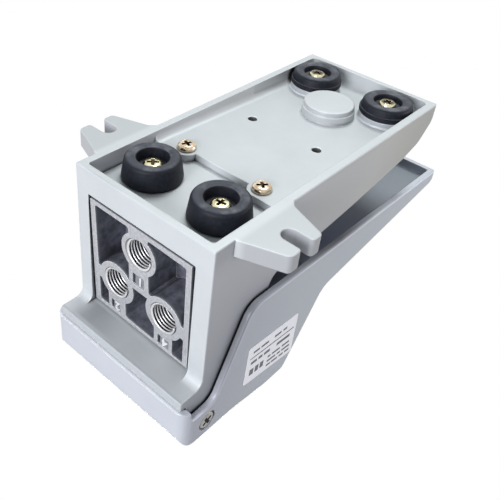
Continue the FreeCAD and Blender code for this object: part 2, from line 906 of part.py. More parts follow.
def pedal_hollow():
    path = [(skirt_rear, skirt_low, 0)] + pedal_top() + [(toe_end, lip_toe, 0)]
    inner = inset(path, pedal_wall)
    top = []
    for index, (y, z, radius) in enumerate(inner):
        if index == 0 or index == 3 or index == 5:
            radius = max(radius - pedal_wall, 1.2)
        top.append((y, z, radius))
    low = 10.0
    corners = [(top[0][0], low, 0)] + top + [(top[-1][0], low, 0)]
    hollow = prism_x(corners, -pedal_inner_half_width, pedal_inner_half_width)
    uprights = edges_of(hollow, lambda b: b.XLength < 0.01 and b.YLength < 0.01 and b.ZLength > 5)
    return hollow.makeFillet(flank_corner_round, uprights)


def tread_height(y):
    rise = (tread_start[1] - toe_top) / (tread_start[0] - toe_end)
    return toe_top + rise * (y - toe_end)


def tread_bars():
    bars = []
    for index in range(tread_bar_count):
        y = tread_bar_first - index * tread_bar_pitch
        z = tread_height(y) - tread_bar_sunk
        bars.append(bar(tread_bar_radius, V(-tread_bar_half_length, y, z), V(tread_bar_half_length, y, z)))
    return bars


def pedal():
    body = pedal_shell()
    body = body.cut(pedal_hollow())
    added = [body] + tread_bars()
    boss_face = lug_face + side_gap
    for side in SIDES:
        added.append(bar(pivot_boss_radius, V(side * boss_face, pivot_y, pivot_z),
                         V(side * (pedal_inner_half_width + 0.5), pivot_y, pivot_z)))
    added.append(rod(pusher_boss_radius, spool_x, spool_y, pusher_boss_low, pusher_boss_top))
    added.append(rod(spring_pad_radius, 0, -cup_along, spring_pad_low, tread_height(-cup_along) - spring_pad_sunk))
    body = fuse_all(added)
    counterbore_floor = boss_face + pivot_web
    for side in SIDES:
        body = body.cut(bar(pivot_bush_radius, V(side * (boss_face - 1), pivot_y, pivot_z),
                            V(side * (counterbore_floor + 1), pivot_y, pivot_z)))
        body = body.cut(bar(pivot_counterbore_radius, V(side * counterbore_floor, pivot_y, pivot_z),
                            V(side * (pedal_half_width + 2), pivot_y, pivot_z)))
    return body.cut(rod(pusher_tapped_radius, spool_x, spool_y, pusher_boss_low - 1, pusher_hole_top))


def pivot_bushes():
    near = lug_face + side_gap
    far = near + pivot_web
    pieces = []
    for side in SIDES:
        body = bar(pivot_bush_radius, V(side * near, pivot_y, pivot_z), V(side * far, pivot_y, pivot_z))
        pieces.append(body.cut(bar(pivot_shoulder_radius + pivot_running_fit,
                                   V(side * (near - 1), pivot_y, pivot_z), V(side * (far + 1), pivot_y, pivot_z))))
    return Part.makeCompound(pieces)


def pivot_screws():
    head_seat = lug_face + 2 * side_gap + pivot_web
    head_end = head_seat + pivot_head_height
    pieces = []
    for side in SIDES:
        thread = bar(pivot_thread_radius, V(side * (lug_face - pivot_thread_length), pivot_y, pivot_z),
                     V(side * (lug_face + 0.5), pivot_y, pivot_z))
        shoulder = bar(pivot_shoulder_radius, V(side * lug_face, pivot_y, pivot_z),
                       V(side * (head_seat + 0.5), pivot_y, pivot_z))
        head = bar(pivot_head_radius, V(side * head_seat, pivot_y, pivot_z), V(side * head_end, pivot_y, pivot_z))
        rim = edges_of(head, lambda b: b.XLength < 0.01 and abs(abs(b.XMin) - head_end) < 0.01)
        head = head.makeFillet(0.5, rim)
        pieces.append(fuse_all([thread, shoulder, head]))
    return Part.makeCompound(pieces)


def pedal_return_spring():
    return coil(pedal_spring_radius, pedal_spring_wire, pedal_spring_turns,
                cup_end + cup_floor, spring_pad_low, 0, -cup_along)


def pusher_screw():
    return turned([
        (0, pusher_tip, 0),
        (pusher_radius - 0.9, pusher_tip, 0),
        (pusher_radius, pusher_tip + 1.0, 0),
        (pusher_radius, pusher_top, 0),
        (0, pusher_top, 0),
    ], spool_x, spool_y)


def pusher_lock_nut():
    reach = nut_across_flats / math.sqrt(3)
    low = pusher_boss_low - nut_height
    corners = [(reach * math.cos(math.radians(60 * k)), reach * math.sin(math.radians(60 * k)), 0)
               for k in range(6)]
    nut = prism_z(corners, low, pusher_boss_low)
    nut.translate(V(spool_x, spool_y, 0))
    return nut.cut(rod(pusher_tapped_radius, spool_x, spool_y, low - 1, pusher_boss_low + 1))


def place(shape):
    shape.translate(V(0, -(toe_end + skirt_rear) / 2, foot_proud))
    return shape


pieces = {
    "base_housing": base_housing(),
    "valve_body": valve_body(),
    "valve_spool": valve_spool(),
    "spool_seals": spool_seals(),
    "spool_return_spring": spool_return_spring(),
    "end_plug": end_plug(),
    "end_plug_o_ring": end_plug_o_ring(),
    "spool_guide_bush": spool_guide_bush(),
    "stem_seal": stem_seal(),
    "guide_bush_circlip": guide_bush_circlip(),
    "rear_foot_left": foot(-rear_foot_across, -rear_foot_along, rear_pocket_depth, rear_foot_seat, 0),
    "rear_foot_right": foot(rear_foot_across, -rear_foot_along, rear_pocket_depth, rear_foot_seat, 0),
    "front_foot_left": foot(-front_foot_across, -front_foot_along, front_foot_base, front_foot_seat,
                             foot_flange_height),
    "front_foot_right": foot(front_foot_across, -front_foot_along, front_foot_base, front_foot_seat,
                             foot_flange_height),
    "rear_foot_screws": rear_foot_screws(),
    "front_foot_screws": front_foot_screws(),
    "valve_screws": valve_screws(),
    "pedal": pedal(),
    "pivot_bushes": pivot_bushes(),
    "pivot_screws": pivot_screws(),
    "pedal_return_spring": pedal_return_spring(),
    "pusher_screw": pusher_screw(),
    "pusher_lock_nut": pusher_lock_nut(),
}

os.makedirs("parts", exist_ok=True)
for name, shape in pieces.items():
    place(shape).exportStep("parts/" + name + ".step")
    limits = shape.BoundBox
    print(name, "solids", len(shape.Solids), "valid", shape.isValid(), "volume", round(shape.Volume),
          "x", round(limits.XMin, 2), round(limits.XMax, 2), "y", round(limits.YMin, 2), round(limits.YMax, 2),
          "z", round(limits.ZMin, 2), round(limits.ZMax, 2))
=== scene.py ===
import math

import bmesh
import bpy
from mathutils import Matrix, Vector


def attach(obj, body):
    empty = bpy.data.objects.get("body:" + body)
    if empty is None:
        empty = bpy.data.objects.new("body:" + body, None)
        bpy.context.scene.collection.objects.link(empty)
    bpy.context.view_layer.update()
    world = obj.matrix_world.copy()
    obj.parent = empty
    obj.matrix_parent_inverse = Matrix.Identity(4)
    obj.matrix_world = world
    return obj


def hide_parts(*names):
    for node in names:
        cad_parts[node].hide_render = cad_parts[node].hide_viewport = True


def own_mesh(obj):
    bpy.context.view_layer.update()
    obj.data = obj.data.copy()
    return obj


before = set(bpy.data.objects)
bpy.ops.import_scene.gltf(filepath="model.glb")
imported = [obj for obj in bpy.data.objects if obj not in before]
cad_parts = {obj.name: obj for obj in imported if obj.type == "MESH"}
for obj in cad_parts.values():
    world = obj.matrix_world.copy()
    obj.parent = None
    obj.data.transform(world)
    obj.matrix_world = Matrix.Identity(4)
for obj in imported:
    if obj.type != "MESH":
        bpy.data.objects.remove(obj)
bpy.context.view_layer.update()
print("frame loaded:", len(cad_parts), "nodes")

# Shapes are placed in millimetres in the housing's own frame: X across, minus Y towards the toe,
# plus Z up, with zero at the middle of the rear face, level with the rim of the floor tray.
rearFaceY = 76.45
rimZ = 1.8


def mm(size):
    return size / 1000


def at(x, y, z):
    return Vector((x, y + rearFaceY, z + rimZ)) / 1000


def newObject(name, data):
    made = bpy.data.objects.new(name, data)
    bpy.context.scene.collection.objects.link(made)
    return made


def feed(tree, sockets, values):
    # A socket takes a link or a plain value.
    for key, value in values.items():
        if isinstance(value, bpy.types.NodeSocket):
            tree.links.new(value, sockets[key])
        else:
            sockets[key].default_value = value


def addNode(tree, kind, values=None, **settings):
    made = tree.nodes.new(kind)
    for key, value in settings.items():
        setattr(made, key, value)
    feed(tree, made.inputs, values or {})
    return made


def firstOut(tree, kind, values=None, **settings):
    return addNode(tree, kind, values, **settings).outputs[0]


def maths(tree, operation, *values):
    return firstOut(tree, "ShaderNodeMath", dict(enumerate(values)), operation=operation)


# Camera, lamps, world and floor. The camera's three directions point to its right, up and back.

cameraSetup = {
    "place": (0.13252786, 0.20190050, -0.13476553),
    "right": (0.73070841, -0.67966450, -0.06419806),
    "up": (-0.44498535, -0.40285818, -0.79980831),
    "back": (0.51773860, 0.61299385, -0.59681260),
    "lens": 48.2774,
    "sensor": 36.0,
    "shiftX": 0.10,
    "shiftY": -0.09,
    "near": 0.005,
    "far": 20.0,
}


def makeCamera(setup):
    data = bpy.data.cameras.new("camera")
    data.sensor_width = setup["sensor"]
    data.lens = setup["lens"]
    data.shift_x = setup["shiftX"]
    data.shift_y = setup["shiftY"]
    data.clip_start = setup["near"]
    data.clip_end = setup["far"]
    camera = newObject("camera", data)
    columns = Matrix((setup["right"], setup["up"], setup["back"])).transposed()
    camera.matrix_world = Matrix.Translation(setup["place"]) @ columns.to_4x4()
    bpy.context.scene.camera = camera


lampAim = (0, -75, 45)
lampSetup = {
    "under": {"towards": (-0.20, -0.46, -1.0), "distance": 1.2, "size": 0.5, "power": 7.5,
              "colour": (0.95, 1.0, 1.0)},
    "rear": {"towards": (0.15, 1.0, -0.38), "distance": 0.8, "size": 0.4, "power": 5.5,
             "colour": (0.94, 0.955, 1.0)},
    "toeSide": {"towards": (0.8, -0.8, -0.10), "distance": 0.55, "size": 0.3, "power": 0.8,
                "colour": (0.97, 0.98, 1.0)},
    "above": {"towards": (-0.35, -0.45, 1.0), "distance": 1.2, "size": 0.8, "power": 10.0,
              "colour": (1.0, 1.0, 1.0)},
}


def makeLamp(name, setup):
    data = bpy.data.lights.new(name, "AREA")
    data.shape = "DISK"
    data.size = setup["size"]
    data.energy = setup["power"]
    data.color = setup["colour"]
    lamp = newObject(name, data)
    aim = Vector(setup["towards"]).normalized()
    lamp.location = at(*lampAim) + aim * setup["distance"]
    lamp.rotation_euler = aim.to_track_quat("Z", "Y").to_euler()
    lamp.visible_camera = False


worldLight = {"colour": (0.90, 0.95, 1.0), "strength": 0.20, "background": 1.0}


def makeWorld(setup):
    # White to look at, also in reflections and through glass, but softer as a light.
    world = bpy.data.worlds.new("studio")
    bpy.context.scene.world = world
    world.use_nodes = True
    tree = world.node_tree
    tree.nodes.clear()
    soft = firstOut(tree, "ShaderNodeBackground",
                    {"Color": (*setup["colour"], 1), "Strength": setup["strength"]})
    white = firstOut(tree, "ShaderNodeBackground", {"Color": (1, 1, 1, 1), "Strength": setup["background"]})
    path = addNode(tree, "ShaderNodeLightPath").outputs
    seen = maths(tree, "MAXIMUM", path["Is Camera Ray"], path["Is Glossy Ray"])
    seen = maths(tree, "MAXIMUM", seen, path["Is Transmission Ray"])
    mix = firstOut(tree, "ShaderNodeMixShader", {0: seen, 1: soft, 2: white})
    addNode(tree, "ShaderNodeOutputWorld", {"Surface": mix})


floorSetup = {"half": 3.0, "glow": 0.74, "diffuse": 0.34}


def makeFloor(setup):
    # Pale paper that only the camera sees, and only from above, so that it never hides the underside.
    half = setup["half"]
    mesh = bpy.data.meshes.new("studioFloor")
    corners = [(-half, -half, 0), (half, -half, 0), (half, half, 0), (-half, half, 0)]
    mesh.from_pydata(corners, [], [(0, 1, 2, 3)])
    floor = newObject("studioFloor", mesh)
    material = bpy.data.materials.new("paleFloor")
    material.use_nodes = True
    tree = material.node_tree
    tree.nodes.clear()
    clear = firstOut(tree, "ShaderNodeBsdfTransparent")
    paper = firstOut(tree, "ShaderNodeBsdfDiffuse", {"Color": (setup["diffuse"],) * 3 + (1,)})
    glow = firstOut(tree, "ShaderNodeEmission", {"Strength": setup["glow"]})
    both = firstOut(tree, "ShaderNodeAddShader", {0: paper, 1: glow})
    front = maths(tree, "SUBTRACT", 1.0, addNode(tree, "ShaderNodeNewGeometry").outputs["Backfacing"])
    seen = maths(tree, "MULTIPLY", addNode(tree, "ShaderNodeLightPath").outputs["Is Camera Ray"], front)
    mix = firstOut(tree, "ShaderNodeMixShader", {0: seen, 1: clear, 2: both})
    addNode(tree, "ShaderNodeOutputMaterial", {"Surface": mix})
    mesh.materials.append(material)


makeCamera(cameraSetup)
for lampName, lamp in lampSetup.items():
    makeLamp(lampName, lamp)
makeWorld(worldLight)
makeFloor(floorSetup)
bpy.context.scene.view_settings.view_transform = "Standard"
print("camera, floor and lamps placed")


# What the finishes are made of.

def newFinish(name):
    material = bpy.data.materials.new(name)
    material.use_nodes = True
    tree = material.node_tree
    tree.nodes.clear()
    shader = addNode(tree, "ShaderNodeBsdfPrincipled")
    addNode(tree, "ShaderNodeOutputMaterial", {"Surface": shader.outputs[0]})
    return material, tree, shader


def coordsOf(tree, output="Object"):
    return addNode(tree, "ShaderNodeTexCoord").outputs[output]


def axesOf(tree, vector):
    return addNode(tree, "ShaderNodeSeparateXYZ", {0: vector}).outputs


def noiseOn(tree, coords, scale, detail):
    values = {"Vector": coords, "Scale": scale, "Detail": detail, "Roughness": 0.6}
    return addNode(tree, "ShaderNodeTexNoise", values).outputs["Fac"]


def rampOf(tree, value, stops):
    # Each stop has its place, from zero to one, and its colour.
    ramp = addNode(tree, "ShaderNodeValToRGB", {"Fac": value})
    elements = ramp.color_ramp.elements
    while len(elements) < len(stops):
        elements.new(0.5)
    for element, (position, colour) in zip(elements, stops):
        element.position = position
    for element, (position, colour) in zip(elements, stops):
        element.color = (*colour, 1)
    return ramp.outputs["Color"]


def rangeOf(tree, value, low, high, outLow=0.0, outHigh=1.0):
    values = {"Value": value, "From Min": low, "From Max": high, "To Min": outLow, "To Max": outHigh}
    return addNode(tree, "ShaderNodeMapRange", values).outputs["Result"]


def product(tree, factors):
    total = factors[0]
    for factor in factors[1:]:
        total = maths(tree, "MULTIPLY", total, factor)
    return total


def mixColour(tree, factor, first, second):
    if isinstance(second, tuple):
        second = (*second, 1)
    values = {"Factor": factor, "A": first, "B": second}
    return addNode(tree, "ShaderNodeMix", values, data_type="RGBA").outputs["Result"]


raySamples = {"edge": 6, "crevice": 8}
edgeTurn = {"none": 0.995, "full": 0.90}


def roundedNormal(tree, radius):
    return firstOut(tree, "ShaderNodeBevel", {"Radius": mm(radius)}, samples=raySamples["edge"])



def edgeMask(tree, rounded):
    # One where a face turns into the next, zero on the open face: where the painted highlight along the edges
    # goes.
    values = {0: rounded, 1: addNode(tree, "ShaderNodeNewGeometry").outputs["Normal"]}
    turn = addNode(tree, "ShaderNodeVectorMath", values, operation="DOT_PRODUCT").outputs["Value"]
    return rangeOf(tree, turn, edgeTurn["none"], edgeTurn["full"])


def crevices(tree, colour, reach, least, own=False, shut=0.30, clear=0.75):
    # Painted shade: darkens the colour where the surroundings, or only the piece itself, lie closer than the
    # reach.
    occlusion = addNode(tree, "ShaderNodeAmbientOcclusion", {"Distance": mm(reach)},
                        samples=raySamples["crevice"], only_local=own)
    openness = rangeOf(tree, occlusion.outputs["AO"], shut, clear, least, 1.0)
    return firstOut(tree, "ShaderNodeVectorMath", {0: colour, "Scale": openness}, operation="SCALE")


def fromAxis(tree, coords, lengthways, centre):
    # How far a point is from an axis through that centre. Lengthways is zero along the axis.
    flat = firstOut(tree, "ShaderNodeVectorMath", {0: coords, 1: lengthways}, operation="MULTIPLY")
    middle = [mm(part) * kept for part, kept in zip(centre, lengthways)]
    return addNode(tree, "ShaderNodeVectorMath", {0: flat, 1: middle}, operation="DISTANCE").outputs["Value"]


grainSpan = (0.3, 0.7)


def grainSurface(tree, shader, colour, grain, rounded, look):
    # The colour, with a roughness and a fine relief that follow the same grain.
    bump = {"Height": grain, "Strength": look["bump"], "Distance": mm(look["grainDepth"]), "Normal": rounded}
    feed(tree, shader.inputs, {
        "Base Color": colour,
        "Roughness": rangeOf(tree, grain, *grainSpan, look["smooth"], look["rough"]),
        "Normal": firstOut(tree, "ShaderNodeBump", bump),
        "Metallic": look["metallic"],
    })


# The two painted castings. A mark lies where all of its limits are met, and each limit has what it reads,
# where that counts for nothing and where it counts in full. Places are read in millimetres of the whole
# part's frame: x, y, z, across (away from the middle) and cup (away from the spring cup's axis). Faces are
# read by how they look: faceX, faceZ, sideways (to either side) and level (up or down). A shade is a colour,
# or what it is read along with its stops.

cupAlong = -38.1
# The side facing plus X, which is painted in shade.
rightSide = ("faceX", 0.6, 0.95)
underneath = ("faceZ", -0.75, -0.9)
wall = ("level", 0.55, 0.30)
ledge = ("y", 75.5, 76.5)

housingLook = {
    # Edge is a painted highlight along the edges.
    "dark": (0.63, 0.66, 0.675), "light": (0.67, 0.70, 0.715), "edge": (0.92, 0.94, 0.96),
    "patchScale": 60, "grainScale": 1500, "grainDepth": 0.2, "smooth": 0.38, "rough": 0.52, "bump": 0.16,
    "metallic": 0.12, "edgeRadius": 0.6,
    # Flank is painted shade on the side facing plus X, with a painted warm reflection towards the toe. Its
    # heel mark is painted shade that darkens towards z 76, and its toe mark is painted shade.
    "flank": ("y", [(55, (0.58, 0.585, 0.62)), (-60, (0.60, 0.59, 0.555))]),
    "flankMarks": {
        "heel": {"where": [("y", 20, 45)],
                 "shade": ("z", [(4, (0.58, 0.585, 0.62)), (76, (0.385, 0.395, 0.435))])},
        "toe": {"where": [("y", -25, -68)], "shade": (0.44, 0.44, 0.41)},
    },
    # Every mark here is painted shade: on the ears' sides and the faces under them, on the ledge's lip, on
    # the walls of the bosses, the spring cup and the drain holes, and a painted shadow on the far part of the
    # ledge's underside.
    "marks": {
        "ears": {"where": [("across", 35, 38), ("faceZ", -0.75, -0.45)], "shade": (0.48, 0.49, 0.51)},
        "earFaces": {"where": [("across", 34.5, 36.5), underneath, ("z", 12, 8)],
                     "shade": (0.55, 0.575, 0.585)},
        "lip": {"where": [("y", 86, 87.2)], "shade": (0.54, 0.57, 0.59)},
        "bossWalls": {"where": [wall, ("y", -69.5, -69), ("y", -23, -24), ("across", 31.2, 31)],
                      "shade": (0.42, 0.44, 0.46)},
        "cupWall": {"where": [wall, ("cup", 13.8, 12.6)], "shade": (0.49, 0.51, 0.52)},
        "drainWalls": {"where": [wall, ("y", -11.5, -11), ("y", -3, -3.5), ("across", 23, 22)],
                       "shade": (0.16, 0.17, 0.17)},
        "ledgeFar": {"where": [ledge, underneath, ("x", -2, -20), ("x", -30, -24), ("y", 86.5, 85)],
                     "shade": (0.42, 0.44, 0.46)},
    },
    # Crevices are painted shade: in the ledge's corner, in the gap beside the pedal's flank and along the
    # seams.
    "crevices": {
        "ledge": {"where": [ledge], "how": {"reach": 10, "least": 0.60, "own": True}},
        "flank": {"where": [rightSide], "how": {"reach": 2.2, "least": 0.05, "shut": 0.50, "clear": 0.92}},
        "seams": {"where": [("y", 86.5, 84), ("cup", 12.6, 13.8)], "how": {"reach": 1.6, "least": 0.12}},
    },
}

# How bright the rim of the pedal's flange is painted, from the toe to the heel: painted light and shade along
# its length, with a painted bluish tint.
rimGreys = [(-35, 0.60), (-20, 0.42), (-4, 0.23), (10, 0.28), (25, 0.37), (45, 0.39), (51, 0.34),
            (55.4, 0.18), (64.5, 0.21), (68.6, 0.31), (72.7, 0.44), (76, 0.58), (80, 0.80)]
rimTint = (1.0, 1.02, 1.13)
rimStops = [(place, tuple(grey * part for part in rimTint)) for place, grey in rimGreys]

pedalLook = {
    # Edge is a mild painted highlight along the edges.
    "dark": (0.60, 0.625, 0.685), "light": (0.635, 0.66, 0.72), "edge": (0.66, 0.68, 0.73),
    "patchScale": 55, "grainScale": 1400, "grainDepth": 0.2, "smooth": 0.36, "rough": 0.50, "bump": 0.18,
    "metallic": 0.12, "edgeRadius": 0.6,
    # Flank is painted shade on the side facing plus X, darker towards the heel.
    "flank": ("y", [(80, (0.50, 0.515, 0.58)), (25, (0.58, 0.61, 0.67))]),
    "flankMarks": {},
    "marks": {
        # Hollow is painted shade inside the pedal, darkest towards the toe and lighter and bluer towards the
        # heel.
        "hollow": {"where": [("across", 35.4, 35.2), ("faceZ", 0.3, 0.2), ("y", -86.1, -85.8),
                             ("y", 20, -10)],
                   "shade": ("y", [(-52, (0.175, 0.197, 0.23)), (-20, (0.30, 0.325, 0.43))])},
        # FlangeRim paints these greys on the flange's rim as painted light and shade.
        "flangeRim": {"where": [("across", 34.6, 35.3), ("sideways", 0.94, 0.70), ("faceZ", 0.25, 0.05),
                                ("y", -35, -29), ("y", 86, 84)],
                      "shade": ("y", rimStops)},
        # HeelRim is a painted highlight along the heel's top edge.
        "heelRim": {"where": [("y", 87, 88), ("faceZ", -0.04, -0.25)], "shade": (0.97, 0.98, 1.0)},
    },
    # Painted shade along the seams at the heel.
    "crevices": {"seams": {"where": [("y", 86.5, 84)], "how": {"reach": 0.6, "least": 0.12}}},
}


def readsOf(tree, coords):
    place, facing = axesOf(tree, coords), axesOf(tree, coordsOf(tree, "Normal"))
    lengths = {"x": place["X"], "y": place["Y"], "z": place["Z"],
               "across": maths(tree, "ABSOLUTE", place["X"]),
               "cup": fromAxis(tree, coords, (1, 1, 0), (0, cupAlong, 0))}
    turns = {"faceX": facing["X"], "faceZ": facing["Z"],
             "sideways": maths(tree, "ABSOLUTE", facing["X"]),
             "level": maths(tree, "ABSOLUTE", facing["Z"])}
    reads = {name: (socket, mm(1)) for name, socket in lengths.items()}
    reads.update({name: (socket, 1) for name, socket in turns.items()})
    return reads


def maskOf(tree, reads, limits):
    parts = []
    for what, nothing, full in limits:
        socket, unit = reads[what]
        parts.append(rangeOf(tree, socket, nothing * unit, full * unit))
    return product(tree, parts)


def shadeOf(tree, reads, shade):
    if not isinstance(shade[0], str):
        return shade
    what, stops = shade
    start, end = stops[0][0], stops[-1][0]
    along = maskOf(tree, reads, [(what, start, end)])
    return rampOf(tree, along, [((place - start) / (end - start), colour) for place, colour in stops])


def paint(tree, reads, colour, marks):
    for mark in marks.values():
        shade = shadeOf(tree, reads, mark["shade"])
        colour = mixColour(tree, maskOf(tree, reads, mark["where"]), colour, shade)
    return colour


def castMetal(name, look):
    material, tree, shader = newFinish(name)
    coords = coordsOf(tree)
    reads = readsOf(tree, coords)
    patches = noiseOn(tree, coords, look["patchScale"], 4)
    grain = noiseOn(tree, coords, look["grainScale"], 4)
    colour = rampOf(tree, patches, [(0.32, look["dark"]), (0.68, look["light"])])
    # The side facing plus X is painted in shade.
    flank = paint(tree, reads, shadeOf(tree, reads, look["flank"]), look["flankMarks"])
    colour = mixColour(tree, maskOf(tree, reads, [rightSide]), colour, flank)
    rounded = roundedNormal(tree, look["edgeRadius"])
    # The edges get their painted highlight.
    colour = mixColour(tree, edgeMask(tree, rounded), colour, look["edge"])
    # The marks paint their shade and highlights.
    colour = paint(tree, reads, colour, look["marks"])
    # Painted shade in the crevices.
    for crevice in look["crevices"].values():
        darker = crevices(tree, colour, **crevice["how"])
        colour = mixColour(tree, maskOf(tree, reads, crevice["where"]), colour, darker)
    grainSurface(tree, shader, colour, grain, rounded, look)
    return material


# The valve body: its machined face is bright, with a painted highlight along its edges. Its cored pockets
# keep their cast skin, painted much darker as painted shade, with more painted shade in their corners and a
# painted highlight on their edges, and its bores are painted dark as painted shade.

portPlaces = {"supply": (-1.06, 23.84), "left": (-13.69, 46.45), "right": (12.21, 46.90)}
valveFace = {"lean": 1.25 / 52.3, "foot": 12.2, "sunk": 0.2}
valveLook = {
    # Edge and coreEdge are painted highlights on the edges. Bore is painted shade in the bores, and the
    # cores' dark colours and coreShade are painted shade on their cast skin.
    "dark": (0.40, 0.405, 0.425), "light": (0.56, 0.565, 0.585), "edge": (0.95, 0.96, 0.98),
    "boxFloor": (0.25, 0.255, 0.28), "boxDepth": (0.4, 0.6),
    "bore": (0.22, 0.22, 0.23), "boreReach": (7.05, 6.95),
    "coreDark": (0.10, 0.105, 0.13), "coreLight": (0.27, 0.275, 0.33), "coreEdge": (0.40, 0.405, 0.45),
    "coreDepth": (0.8, 1.2), "coreShade": {"reach": 5, "least": 0.5}, "mottleScale": 230,
    "patchScale": 1100, "grainScale": 1700, "grainDepth": 0.2, "smooth": 0.30, "rough": 0.46, "bump": 0.16,
    "metallic": 0.15, "edgeRadius": 0.35,
}


def faceY(z):
    # The valve's face leans: this is where it stands at that height.
    return -valveFace["sunk"] - valveFace["lean"] * (z - valveFace["foot"])


def valveMetal(name, look):
    material, tree, shader = newFinish(name)
    coords = coordsOf(tree)
    place = axesOf(tree, coords)
    patches = noiseOn(tree, coords, look["patchScale"], 4)
    grain = noiseOn(tree, coords, look["grainScale"], 4)
    mottle = noiseOn(tree, coords, look["mottleScale"], 5)
    face = rampOf(tree, patches, [(0.35, look["dark"]), (0.65, look["light"])])
    core = rampOf(tree, mottle, [(0.35, look["coreDark"]), (0.68, look["coreLight"])])
    # The depth behind the leaning face is read along Y and Z together.
    lean = maths(tree, "MULTIPLY_ADD", place["Z"], valveFace["lean"], place["Y"])
    level = rearFaceY + faceY(-rimZ)
    inBox, inCore = [rangeOf(tree, lean, mm(level - start), mm(level - full))
                     for start, full in (look["boxDepth"], look["coreDepth"])]
    inBore = None
    for across, height in portPlaces.values():
        away = fromAxis(tree, coords, (1, 0, 1), (across, 0, height + rimZ))
        one = rangeOf(tree, away, *[mm(reach) for reach in look["boreReach"]])
        inBore = maths(tree, "MAXIMUM", inBore, one) if inBore else one
    rounded = roundedNormal(tree, look["edgeRadius"])
    edges = edgeMask(tree, rounded)
    # Painted highlights on the edges, painted shade in the cores and the bores.
    face = mixColour(tree, edges, face, look["edge"])
    face = mixColour(tree, inBox, face, look["boxFloor"])
    core = mixColour(tree, edges, core, look["coreEdge"])
    core = crevices(tree, core, **look["coreShade"])
    colour = mixColour(tree, inCore, face, core)
    colour = mixColour(tree, inBore, colour, look["bore"])
    grainSurface(tree, shader, colour, grain, rounded, look)
    return material


rubberLook = {
    # Top is painted light and dust on the standing faces; scuff is their scuffing.
    "dark": (0.006, 0.007, 0.012), "light": (0.014, 0.016, 0.025), "top": (0.058, 0.063, 0.079),
    "scuff": (0.15, 0.158, 0.178), "scuffScale": 130, "litAndWorn": (-0.75, -0.98), "shine": 0.22,
    "grainScale": 900, "grainDepth": 0.2, "smooth": 0.46, "rough": 0.62, "bump": 0.25, "metallic": 0.0,
    "edgeRadius": 0.3,
}


def rubberFinish(name, look):
    # The faces that stand on the floor are painted lighter, as painted light where they face the lamps, and
    # are dusty and scuffed.
    material, tree, shader = newFinish(name)
    coords = coordsOf(tree)
    grain = noiseOn(tree, coords, look["grainScale"], 4)
    side = rampOf(tree, grain, [(0.35, look["dark"]), (0.7, look["light"])])
    litAndWorn = rangeOf(tree, axesOf(tree, coordsOf(tree, "Normal"))["Z"], *look["litAndWorn"])
    scuffs = noiseOn(tree, coords, look["scuffScale"], 3)
    top = rampOf(tree, scuffs, [(0.46, look["top"]), (0.66, look["scuff"])])
    rounded = roundedNormal(tree, look["edgeRadius"])
    grainSurface(tree, shader, mixColour(tree, litAndWorn, side, top), grain, rounded, look)
    shader.inputs["Specular IOR Level"].default_value = look["shine"]
    return material


# Plain metals. A cross is a driver's recess: its axis, the middle of its mouth on the side of plus X,
# how far from the axis its shade ends and how far below the mouth it starts.
metalBase = {"patchScale": 260, "grainScale": 2200, "grainDepth": 0.1, "bump": 0.10, "edgeRadius": 0.2,
             "metallic": 0.95, "smoother": 0.05, "rougher": 0.08}
crossSoft = {"around": 0.1, "down": 0.05}
# Shade is painted shade in the corners, and recess paints the drivers' crosses dark as painted shade.
metalLooks = {
    "paleBrass": {"dark": (0.60, 0.54, 0.32), "light": (0.88, 0.83, 0.62), "rough": 0.20,
                  "shade": {"reach": 1.2, "least": 0.05}, "recess": (0.10, 0.082, 0.042),
                  "crosses": [("Z", (17.0, 54.05, 2.6), 2.45, 0.30), ("Z", (19.0, -55.65, 0.6), 2.45, 0.30)]},
    "rosyBrass": {"dark": (0.50, 0.39, 0.26), "light": (0.84, 0.72, 0.57), "rough": 0.18,
                  "shade": {"reach": 1.2, "least": 0.05}, "recess": (0.10, 0.068, 0.042),
                  "crosses": [("Z", (19.1, 33.35, 3.8), 2.45, 0.30)]},
    "steel": {"dark": (0.46, 0.46, 0.46), "light": (0.60, 0.60, 0.59), "rough": 0.30},
    "greySteel": {"dark": (0.34, 0.34, 0.31), "light": (0.50, 0.50, 0.46), "rough": 0.34, "metallic": 0.35,
                  "shade": {"reach": 2.0, "least": 0.04}, "recess": (0.012, 0.012, 0.012),
                  "crosses": [("X", (38.0, 75.45, 85.1), 2.85, 0.08)]},
    "threadSilver": {"dark": (0.66, 0.66, 0.67), "light": (0.82, 0.82, 0.83), "rough": 0.34,
                     "metallic": 0.55, "shade": {"reach": 4.0, "least": 0.18}},
    # The raised figures are painted far brighter than the face round them: a painted highlight.
    "figureHighlight": {"dark": (0.80, 0.80, 0.81), "light": (0.90, 0.90, 0.91), "rough": 0.36,
                     "metallic": 0.2},
    "bronze": {"dark": (0.42, 0.27, 0.13), "light": (0.56, 0.38, 0.20), "rough": 0.36},
}


def inCross(tree, coords, cross):
    # One inside a driver's recess: near the screw's axis and below the face of its head.
    axis, (x, y, z), reach, depth = cross
    place = axesOf(tree, coords)
    across = maths(tree, "ABSOLUTE", place["X"])
    mirrored = firstOut(tree, "ShaderNodeCombineXYZ", {"X": across, "Y": place["Y"], "Z": place["Z"]})
    ways = {"X": ((0, 1, 1), across, x, -1), "Z": ((1, 1, 0), place["Z"], z, 1)}
    lengthways, along, mouth, inward = ways[axis]
    away = fromAxis(tree, mirrored, lengthways, (x, y, z))
    near = rangeOf(tree, away, mm(reach + crossSoft["around"]), mm(reach))
    start, full = mouth + inward * depth, mouth + inward * (depth + crossSoft["down"])
    below = rangeOf(tree, along, mm(start), mm(full))
    return product(tree, [near, below])


